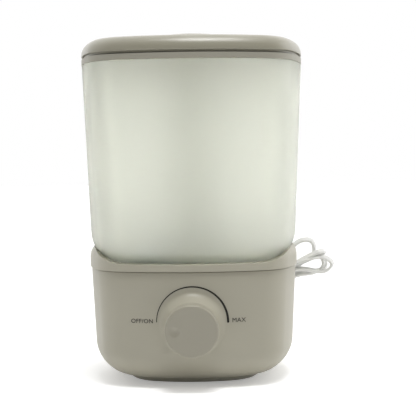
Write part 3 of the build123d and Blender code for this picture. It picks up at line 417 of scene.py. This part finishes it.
# right-hand loops, fanned out as they lie, given as (x, depth from the hank's middle, z)
RIGHT_LOOPS = [
    [(68, 4, 69), (79, 5, 86), (88, 5, 95), (100, 5, 95), (101, 5, 82), (84, 4, 71)],
    [(72, -3, 65), (86, -4, 77), (98, -5, 83), (105, -6.5, 86),
     (109.5, 0, 86), (106, 7, 82), (95, 6.5, 78), (83, 3, 73)],
    [(70, -1, 62), (83, -1, 73), (94, 0, 80), (104, 1, 83.5),
     (110, 1, 75), (102, 1.5, 66.5), (87, 2, 66), (72, 1, 60)],
    [(72, -5, 65), (83, -6, 75.5), (94, -6, 80), (107, -6, 82),
     (117, -6, 75.5), (108.5, -5, 67), (94, -5, 71), (80, -5, 71)],
    [(70, 3, 61), (81, 5, 69), (93, 6, 68.5), (106.5, 6, 67.5),
     (112, 6, 75), (103, 6, 81.5), (90, 6, 78), (79, 5, 70)],
]
LEFT_LOOPS = [
    [(25, 3.5, 42), (6, 4, 33), (-6, 4, 25), (-5, 3, 11), (10, 3, 10), (30, 3, 32)],
    [(26, -2, 44), (10, -3, 37), (-4, -3, 29), (-4, -2, 15), (11, -2, 13), (31, -2, 34)],
    [(28, 0, 41), (14, 0, 33), (1, 1, 25), (4, 1, 12.5), (18, 0, 16), (33, 0, 33)],
    [(25, -5, 40), (9, -6, 34), (-5, -6, 24), (-2, -5, 10), (14, -5, 13), (32, -5, 34)],
]
# where the strands pass through the tie, as (depth, height above the hank's line)
TIE_PLACES = [(4.8, -1.4), (4.8, 1.4), (0, 4.0), (-4.8, 1.4), (0, -1.4), (0, 1.4), (-4.8, -1.4),
              (4.8, 4.0), (-4.8, 4.0), (0, -4.0)]


def through_tie(index, rightwards):
    """Two points, one each side of the tie, that carry a strand straight through it."""
    depth, rise = TIE_PLACES[index]
    lean = radians(30)
    pair = [HANK + Vector((side * 9 * cos(lean) - rise * sin(lean), depth, side * 9 * sin(lean) + rise * cos(lean)))
            for side in (-1, 1)]
    return pair if rightwards else pair[::-1]


def cord_route():
    points = [Vector(p) for p in LEAD] + [Vector((14, 91, 28)), Vector((33, 90, 38))]
    strand = 0
    for index, loop in enumerate(RIGHT_LOOPS):
        points += through_tie(strand, True)
        points += [Vector((x, HANK.y + depth, z)) for x, depth, z in loop]
        points += through_tie(strand + 1, False)
        if index < len(LEFT_LOOPS):
            points += [Vector((x, HANK.y + depth, z)) for x, depth, z in LEFT_LOOPS[index]]
        strand += 2
    return points + [Vector((30, 87.5, 41)), Vector((11, 87.8, 33))] + [Vector(p) for p in TAIL]


def spline_line(points):
    """The smooth line through the route, read from its NURBS spline, in metres."""
    curve = bpy.data.curves.new("cord_line", "CURVE")
    curve.dimensions = "3D"
    curve.resolution_u = 8
    spline = curve.splines.new("NURBS")
    spline.points.add(len(points) - 1)
    for point, place in zip(spline.points, points):
        point.co = (*(place * MM), 1)
    spline.order_u = 3
    spline.use_endpoint_u = True
    holder = bpy.data.objects.new("cord_line", curve)
    bpy.context.scene.collection.objects.link(holder)
    line = bpy.data.meshes.new_from_object(holder)
    places = [v.co.copy() for v in line.vertices]
    bpy.data.objects.remove(holder)
    bpy.data.meshes.remove(line)
    return places


def twin_section(count=10):
    """Outline of flat twin flex: two round cores side by side with a shallow valley between."""
    core, apart = 1.3, 1.15
    outline = []
    for step in range(2 * count):
        angle = 2 * pi * step / (2 * count)
        side = 1 if cos(angle) >= 0 else -1
        waist = 1 - 0.50 * max(0.0, 1 - abs(cos(angle)) * 2.2) ** 1.5
        outline.append((side * apart * min(1, abs(cos(angle)) * 2.2) + core * cos(angle), core * sin(angle) * waist))
    return outline


FLAT_WISH = Vector((-0.10, 0.72, 0.68))   # the way the flex's width likes to lie


def flat_cord(line):
    """Sweeps the twin section along the line, flat side to the bends."""
    section = twin_section()
    mesh = bpy.data.meshes.new("mains_cord")
    shape = bmesh.new()
    flat = Vector((1, 0, 0))
    rows = []
    for index, place in enumerate(line):
        ahead = line[min(index + 1, len(line) - 1)] - line[max(index - 1, 0)]
        ahead.normalize()
        flat = flat - ahead * flat.dot(ahead)
        flat.normalize()
        wish = FLAT_WISH - ahead * ahead.dot(FLAT_WISH)
        if wish.length > 0.45:
            flat = flat + wish.normalized() * (0.10 if flat.dot(wish) >= 0 else -0.10)
            flat.normalize()
        thin = ahead.cross(flat)
        rows.append([shape.verts.new(place + (flat * u + thin * v) * MM) for u, v in section])
    for a, b in zip(rows, rows[1:]):
        for k in range(len(section)):
            n = (k + 1) % len(section)
            shape.faces.new((a[k], a[n], b[n], b[k]))
    shape.faces.new(rows[0])
    shape.faces.new(rows[-1][::-1])
    bmesh.ops.recalc_face_normals(shape, faces=shape.faces)
    shape.to_mesh(mesh)
    shape.free()
    piece = bpy.data.objects.new("mains_cord", mesh)
    bpy.context.scene.collection.objects.link(piece)
    return piece


cord_line = spline_line(cord_route())
mains_cord = smooth(flat_cord(cord_line), 60)
given(mains_cord, "base", "cord_white", cord_vinyl, "power_cord", "cord_hank", "cord_tail")


# ---------------------------------------------------------------- base
def base_half(height):
    """Half width of the base's outside wall at a height."""
    roll_top = FOOT_SEAM + BASE_ROLL
    if height < roll_top:
        drop = min(1.0, (roll_top - height) / BASE_ROLL)
        return BASE_ROLL_HALF - BASE_ROLL + BASE_ROLL * sqrt(1 - drop * drop)
    return BASE_ROLL_HALF + (BASE_SEAM_HALF - BASE_ROLL_HALF) * (height - roll_top) / (BASE_SEAM - roll_top)


def wall_out(x, height):
    """How far in front of the axis the base's front wall is at a place."""
    half = base_half(height)
    side = half * SIDE
    return half - side + sqrt(side * side - x * x)


def dial_directions():
    """The dial's outward and upward directions, and where its axis leaves the wall."""
    tilt = radians(DIAL_TILT)
    out = Vector((0, -cos(tilt), -sin(tilt)))
    up = Vector((0, -sin(tilt), cos(tilt)))
    return out, up, Vector((0, -wall_out(0, DIAL_HEIGHT), DIAL_HEIGHT))


def make_base_shell():
    rings = []
    for angle in arc(18, 0, 90):
        share = FOOT_CORNER + (CORNER - FOOT_CORNER) * sin(angle)
        rings.append((BASE_ROLL_HALF - BASE_ROLL + BASE_ROLL * sin(angle),
                      FOOT_SEAM + BASE_ROLL * (1 - cos(angle)), share, SIDE))
    top = BASE_SEAM - 0.4
    for height in (43.0, 57.0, 71.0, top - 0.5):
        rings.append((base_half(height), height, CORNER, SIDE))
    rings.append((base_half(top) - 0.12, top - 0.14, CORNER, SIDE))
    rings.append((base_half(top) - 0.5, top, CORNER, SIDE))
    rings.append((base_half(top) - 2.4, top, CORNER, SIDE))
    inner = 2.5
    rings.append((base_half(top) - inner, top - 0.3, CORNER, SIDE))
    rings.append((BASE_ROLL_HALF - inner, FOOT_SEAM + BASE_ROLL, CORNER, SIDE))
    for angle in arc(8, 80, 0):
        share = FOOT_CORNER + (CORNER - FOOT_CORNER) * sin(angle)
        rings.append((BASE_ROLL_HALF - BASE_ROLL + BASE_ROLL * sin(angle) - inner,
                      FOOT_SEAM + BASE_ROLL - (BASE_ROLL - inner) * cos(angle), share, SIDE))
    rings.append((BASE_ROLL_HALF - BASE_ROLL - 8.0, FOOT_SEAM + inner, FOOT_CORNER, SIDE))
    rings.append((BASE_ROLL_HALF - BASE_ROLL - 8.0, FOOT_SEAM, FOOT_CORNER, SIDE))
    rings.append(rings[0])
    shell = square_up(raised("base_skin", rings, closed=True), rings)
    return smooth(shell)


def make_dial_boss():
    """The flared boss round the dial, blended into the wall."""
    rings = []
    inner, outer = DIAL_RADIUS - 0.35, DIAL_RADIUS + 6.2
    rings.append((inner - 3.0, 0.0))
    rings.append((inner - 0.5, 0.01))
    for step in range(25):
        rings.append((inner + (outer - inner) * (step / 24) ** 1.6, 0.02 + step * 0.01))
    boss = raised("dial_boss", rings, around=120)
    out, up, start = dial_directions()
    for vertex in boss.data.vertices:
        x, y, _ = (value / MM for value in vertex.co)
        radius = hypot(x, y)
        flat = start + Vector((x, 0, 0)) + up * y
        depth = 0.0
        for _ in range(6):
            place = flat + out * depth
            depth += (wall_out(place.x, place.z) + place.y) / cos(radians(DIAL_TILT))
        share = max(0.0, min(1.0, (radius - inner) / (outer - inner)))
        rise = (BOSS_OUT - depth) * (1 - share) ** 3.0 - 0.04 * share
        if radius < inner - 0.2:
            rise = BOSS_OUT - depth
        vertex.co = (flat + out * (depth + rise)) * MM
    take(boss)
    bpy.ops.object.mode_set(mode="EDIT")
    bpy.ops.mesh.select_all(action="SELECT")
    bpy.ops.mesh.normals_make_consistent(inside=False)
    bpy.ops.object.mode_set(mode="OBJECT")
    if sum((p.normal.y for p in boss.data.polygons)) > 0:
        boss.data.flip_normals()
    solid = boss.modifiers.new("wall", "SOLIDIFY")
    solid.thickness = 1.2 * MM
    solid.offset = -1
    return smooth(boss, 50)


given(make_base_shell(), "base", "shell_plastic", shell_plastic, "base_shell")
given(make_dial_boss(), "base", "shell_plastic", shell_plastic)


# ---------------------------------------------------------------- printed dial marks
def on_wall(piece, lift):
    """Lays a flat print drawn in X and Y onto the front wall."""
    for vertex in piece.data.vertices:
        x, z, proud = vertex.co.x / MM, vertex.co.y / MM, vertex.co.z / MM
        vertex.co = (x * MM, -(wall_out(x, z) + lift + proud) * MM, z * MM)
    take(piece)
    bpy.ops.object.mode_set(mode="EDIT")
    bpy.ops.mesh.select_all(action="SELECT")
    bpy.ops.mesh.remove_doubles(threshold=1e-7)
    bpy.ops.mesh.normals_make_consistent(inside=False)
    bpy.ops.object.mode_set(mode="OBJECT")
    return piece


STROKE_GROWTH = 0.15              # makes the strokes of the printed words bolder


def word(name, text, size, x, z, align):
    deselect()
    bpy.ops.object.text_add(location=(0, 0, 0))
    piece = bpy.context.object
    piece.data.body = text
    piece.data.size = size * MM
    piece.data.align_x = align
    piece.data.extrude = 0.02 * MM
    piece.data.space_character = 1.05
    bpy.ops.object.convert(target="MESH")
    piece = bpy.context.object
    piece.name = piece.data.name = name
    push = {vertex.index: Vector() for vertex in piece.data.vertices}
    for face in piece.data.polygons:
        if abs(face.normal.z) < 0.1:
            for corner in face.vertices:
                push[corner] += face.normal
    for vertex in piece.data.vertices:
        if push[vertex.index].length > 1e-6:
            vertex.co += push[vertex.index].normalized() * STROKE_GROWTH * MM
    placed(piece, Matrix.Translation((x * MM, z * MM, 0)))
    return on_wall(piece, 0.05)


def make_dial_arc():
    """Printed arc that widens from off, at the left, to the highest setting."""
    mesh = bpy.data.meshes.new("dial_arc")
    shape = bmesh.new()
    radius, steps = 25.6, 72
    rows = []
    for step in range(steps + 1):
        share = step / steps
        angle = pi * (1 - share)
        width = 0.58 + 1.1 * share ** 1.3
        places = [((radius + side * width / 2) * cos(angle), MARK_HEIGHT + (radius + side * width / 2) * sin(angle))
                  for side in (-1, 1)]
        rows.append([shape.verts.new((x * MM, z * MM, 0)) for x, z in places])
    for a, b in zip(rows, rows[1:]):
        shape.faces.new((a[0], a[1], b[1], b[0]))
    last = rows[-1]
    end = 0.84                    # half the arc's width at its round end
    tip = [shape.verts.new(((radius + end * cos(a)) * MM, (MARK_HEIGHT - end * sin(a)) * MM, 0))
           for a in arc(8, 15, 165)]
    shape.faces.new([last[1], *tip, last[0]])
    for element in bmesh.ops.extrude_face_region(shape, geom=shape.faces[:])["geom"]:
        if isinstance(element, bmesh.types.BMVert):
            element.co.z += 0.03 * MM
    shape.to_mesh(mesh)
    shape.free()
    piece = bpy.data.objects.new("dial_arc", mesh)
    bpy.context.scene.collection.objects.link(piece)
    return on_wall(piece, 0.05)


given(make_dial_arc(), "base", "shell_plastic", dial_ink)
given(word("off_on_word", "OFF/ON", 4.3, -44.2, MARK_HEIGHT - 0.7, "LEFT"), "base", "shell_plastic", dial_ink)
given(word("max_word", "MAX", 4.5, 28.4, MARK_HEIGHT - 0.5, "LEFT"), "base", "shell_plastic", dial_ink)


# ---------------------------------------------------------------- dial knob
def make_knob():
    low, high = 9.6, FACE_OUT
    rings = [(DIAL_RADIUS - 1.6, low), (DIAL_RADIUS - 0.25, low), (DIAL_RADIUS, low + 0.25), (DIAL_RADIUS, low + 4.0),
             (DIAL_RADIUS, high - 1.3)]
    for angle in arc(6, 15, 90):
        rings.append((DIAL_RADIUS - 1.3 + 1.3 * cos(angle), high - 1.3 + 1.3 * sin(angle)))
    for share in (0.9, 0.8, 0.7, 0.6, 0.5, 0.4, 0.3, 0.2, 0.1):
        rings.append((DIAL_RADIUS * share, high + 0.05 * (1 - share)))
    knob = raised("dial_knob_skin", rings, around=160, cap_high=True)
    dimple_out, dimple_radius, dimple_depth = 12.2, 4.2, 0.9
    take(knob)
    bpy.ops.object.mode_set(mode="EDIT")
    bpy.ops.mesh.select_mode(type="FACE")
    bpy.ops.mesh.select_all(action="DESELECT")
    bpy.ops.object.mode_set(mode="OBJECT")
    for face in knob.data.polygons:
        away = hypot(face.center.x / MM + dimple_out, face.center.y / MM)
        face.select = away < 6.5 and face.center.z / MM > high - 0.2
    bpy.ops.object.mode_set(mode="EDIT")
    bpy.ops.mesh.subdivide(number_cuts=3)
    bpy.ops.object.mode_set(mode="OBJECT")
    for vertex in knob.data.vertices:
        away = hypot(vertex.co.x / MM + dimple_out, vertex.co.y / MM) / dimple_radius
        if away < 1.25 and vertex.co.z / MM > high - 0.2:
            bowl = (1 - min(away, 1.0) ** 2) ** 1.6 if away < 1 else 0
            vertex.co.z -= dimple_depth * bowl * MM
    out, up, start = dial_directions()
    right = up.cross(out)
    matrix = Matrix.Translation(start * MM) @ Matrix((right, up, out)).transposed().to_4x4()
    placed(knob, matrix)
    solid = knob.modifiers.new("wall", "SOLIDIFY")
    solid.thickness = 1.6 * MM
    solid.offset = -1
    return smooth(knob, 40)


given(make_knob(), "dial", "shell_plastic", shaded_knob_plastic, "dial_knob")


# ---------------------------------------------------------------- cradle
def merged_copy(node, name):
    """A copy of a solid with its loose triangles joined."""
    piece = bpy.data.objects.new(name, frame["nodes"][node].data.copy())
    bpy.context.scene.collection.objects.link(piece)
    take(piece)
    bpy.ops.object.mode_set(mode="EDIT")
    bpy.ops.mesh.select_all(action="SELECT")
    bpy.ops.mesh.remove_doubles(threshold=2e-6)
    bpy.ops.mesh.dissolve_limited(angle_limit=radians(0.5))
    bpy.ops.object.mode_set(mode="OBJECT")
    return piece


def make_cradle():
    """The tray that holds the tank, with its edges rounded as moulded."""
    cradle = merged_copy("base_tray", "cradle")
    edge = cradle.modifiers.new("edge", "BEVEL")
    edge.width = 0.45 * MM
    edge.segments = 3
    edge.limit_method = "ANGLE"
    edge.angle_limit = radians(50)
    return smooth(cradle, 40)


given(make_cradle(), "base", "shell_plastic", shell_plastic, "base_tray")

# the valve's spring rides with the tank on a mesh of its own; in use it shortens against the housing as the pin lifts
# the valve
valve_spring = smooth(merged_copy("valve_spring", "valve_spring_wire"), 40)
given(valve_spring, "tank", "spring_steel", spring_steel, "valve_spring")
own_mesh(valve_spring)


# ---------------------------------------------------------------- tank
def tank_half(height):
    """Half width of the tank's outside at a height: straight above, rolled under below."""
    half = 78.6 + (TANK_TOP_HALF - 78.6) * (height - 114.0) / (TANK_TOP - 114.0)
    if height < 114.0:
        half -= 18.0 * ((114.0 - height) / 28.0) ** 3
    return half


def make_tank():
    heights = [TANK_LOW + 28.0 * (step / 16) for step in range(17)] + [130.0, 150.0, 175.0, 200.0, 220.0, 235.6]
    rings = [(30.2, TANK_LOW, 1.0, 1.0), (44.0, TANK_LOW, 0.7, SIDE),
             (tank_half(TANK_LOW) - 0.8, TANK_LOW, CORNER, SIDE)]
    rings += [(tank_half(h), h + (0.35 if h == TANK_LOW else 0), CORNER, SIDE) for h in heights]
    rings += [(TANK_TOP_HALF - 0.5, TANK_TOP, CORNER, SIDE), (TANK_TOP_HALF - 3.0, TANK_TOP, CORNER, SIDE),
              (TANK_TOP_HALF - 3.0, TANK_TOP + 2.8, CORNER, SIDE),
              (TANK_TOP_HALF - 5.2, TANK_TOP + 2.8, CORNER, SIDE),
              (TANK_TOP_HALF - 5.2, TANK_TOP - 4.0, CORNER, SIDE)]
    wall = 2.2
    rings += [(tank_half(h) - wall, max(h, TANK_LOW + wall), CORNER, SIDE) for h in reversed(heights[2:-1])]
    rings += [(44.0, TANK_LOW + wall, 0.7, SIDE), (30.2, TANK_LOW + wall, 1.0, 1.0), rings[0]]
    tank = square_up(raised("water_tank", rings, closed=True), rings)
    return smooth(tank, 40)


given(make_tank(), "tank", "frosted_tank", tank_plastic, "tank_shell")


# ---------------------------------------------------------------- lid, with a round hole in its middle for the nozzle
def make_lid():
    rings = [(LID_HALF - 2.2, LID_LOW + 0.2), (LID_HALF - 0.5, LID_LOW), (LID_HALF - 0.12, LID_LOW + 0.14),
             (LID_HALF, LID_LOW + 0.5)]
    for angle in arc(14, 0, 90):
        rings.append((LID_HALF - LID_ROLL * (1 - cos(angle)), LID_EDGE - LID_ROLL * (1 - sin(angle))))
    shoulder = LID_HALF - LID_ROLL
    for share in (0.85, 0.7, 0.55, 0.42, 0.34):
        rings.append((shoulder * share, LID_EDGE + 1.8 * (1 - share ** 2)))
    rings.append((24.1, LID_EDGE + 1.8 * (1 - 0.32 ** 2)))
    rings.append((23.9, LID_EDGE + 1.4))
    rings.append((23.9, LID_EDGE - 2.2))
    inner = LID_HALF - LID_ROLL - 2.2
    for share in (0.34, 0.7, 0.95):
        rings.append((inner * share, LID_EDGE - 2.2))
    for angle in arc(8, 80, 0):
        rings.append((LID_HALF - LID_ROLL * (1 - cos(angle)) - 2.2, LID_EDGE - LID_ROLL * (1 - sin(angle)) - 2.2))
    rings.append(rings[0])
    rings = [(half, height, 1.0, 1.0) if half < 27 else
             (half, height, CORNER + 0.3 * max(0, 1 - half / 60), SIDE) for half, height in rings]
    lid = square_up(raised("lid_skin", rings, closed=True), rings)
    return smooth(lid, 40)


given(make_lid(), "lid", "lid_plastic", lid_plastic, "lid_cover")


# ---------------------------------------------------------------- floor, light
def make_floor():
    deselect()
    bpy.ops.mesh.primitive_circle_add(vertices=96, radius=6.0, fill_type="NGON", location=(0, 0, 0))
    floor = bpy.context.object
    floor.name = floor.data.name = "floor"
    material, tree, shader, place = blank("pale_floor")
    speck = add_node(tree, "ShaderNodeTexNoise", {"Vector": place, "Scale": 3.0})
    shade = add_node(tree, "ShaderNodeMapRange", {"Value": speck.outputs["Fac"], "To Min": 0.92, "To Max": 0.96})
    tree.links.new(shade.outputs[0], shader.inputs["Base Color"])
    shader.inputs["Roughness"].default_value = 0.9
    shader.inputs["Specular IOR Level"].default_value = 0.1
    shader.inputs["Emission Color"].default_value = (1, 1, 1, 1)
    shader.inputs["Emission Strength"].default_value = 0.08
    seen = tree.nodes.new("ShaderNodeBsdfPrincipled")
    tree.links.new(shade.outputs[0], seen.inputs["Base Color"])
    seen.inputs["Roughness"].default_value = 0.9
    seen.inputs["Specular IOR Level"].default_value = 0.1
    seen.inputs["Emission Color"].default_value = (1, 1, 1, 1)
    seen.inputs["Emission Strength"].default_value = 0.30
    ray = add_node(tree, "ShaderNodeLightPath").outputs["Is Camera Ray"]
    mix = add_node(tree, "ShaderNodeMixShader", {0: ray, 1: shader.outputs[0], 2: seen.outputs[0]})
    tree.links.new(mix.outputs[0], tree.nodes["Material Output"].inputs["Surface"])
    floor.data.materials.append(material)


def make_world():
    """White all round for the eye; the light itself is soft, strong from behind and above, weaker in front."""
    world = bpy.data.worlds.new("studio")
    bpy.context.scene.world = world
    world.use_nodes = True
    tree = world.node_tree
    tree.nodes.clear()
    out = tree.nodes.new("ShaderNodeOutputWorld")
    direction = add_node(tree, "ShaderNodeTexCoord").outputs["Generated"]
    parts = add_node(tree, "ShaderNodeSeparateXYZ", {0: direction})
    behind = add_node(tree, "ShaderNodeMapRange",
                      {"Value": parts.outputs["Y"], "From Min": -0.75, "From Max": 0.45,
                       "To Min": 0.07, "To Max": 1.30},
                      interpolation_type="SMOOTHSTEP")
    seen = add_node(tree, "ShaderNodeBackground", {"Color": (1, 1, 1, 1), "Strength": 1.0})
    lit = add_node(tree, "ShaderNodeBackground", {"Color": (1, 1, 1, 1), "Strength": behind.outputs[0]})
    ray = add_node(tree, "ShaderNodeLightPath").outputs["Is Camera Ray"]
    mix = add_node(tree, "ShaderNodeMixShader", {0: ray, 1: lit.outputs[0], 2: seen.outputs[0]})
    tree.links.new(mix.outputs[0], out.inputs["Surface"])


def hang_light(data, place, target, watts):
    """Puts a light at a place, in metres, and aims it."""
    data.energy = watts
    light = bpy.data.objects.new(data.name, data)
    bpy.context.scene.collection.objects.link(light)
    light.location = place
    light.rotation_euler = (Vector(target) - Vector(place)).to_track_quat("-Z", "Y").to_euler()


def softbox(name, place, target, size, watts):
    data = bpy.data.lights.new(name, "AREA")
    data.shape = "SQUARE"
    data.size = size
    hang_light(data, place, target, watts)


def dial_spot(place, target, watts):
    """A soft narrow light that picks out the boss above the dial."""
    data = bpy.data.lights.new("dial_spot", "SPOT")
    data.spot_size, data.spot_blend, data.shadow_soft_size = radians(11), 1.0, 0.06
    hang_light(data, place, target, watts)


make_floor()
make_world()
softbox("top_softbox", (0.10, -0.32, 1.2), (0, -0.05, 0.08), 0.5, 7.5)
softbox("right_softbox", (1.1, 0.35, 0.6), (0, 0, 0.15), 0.7, 1.8)
dial_spot((0.04, -0.30, 0.90), (0, -0.088, 0.060), 6.0)
bpy.context.scene.view_settings.view_transform = "Standard"
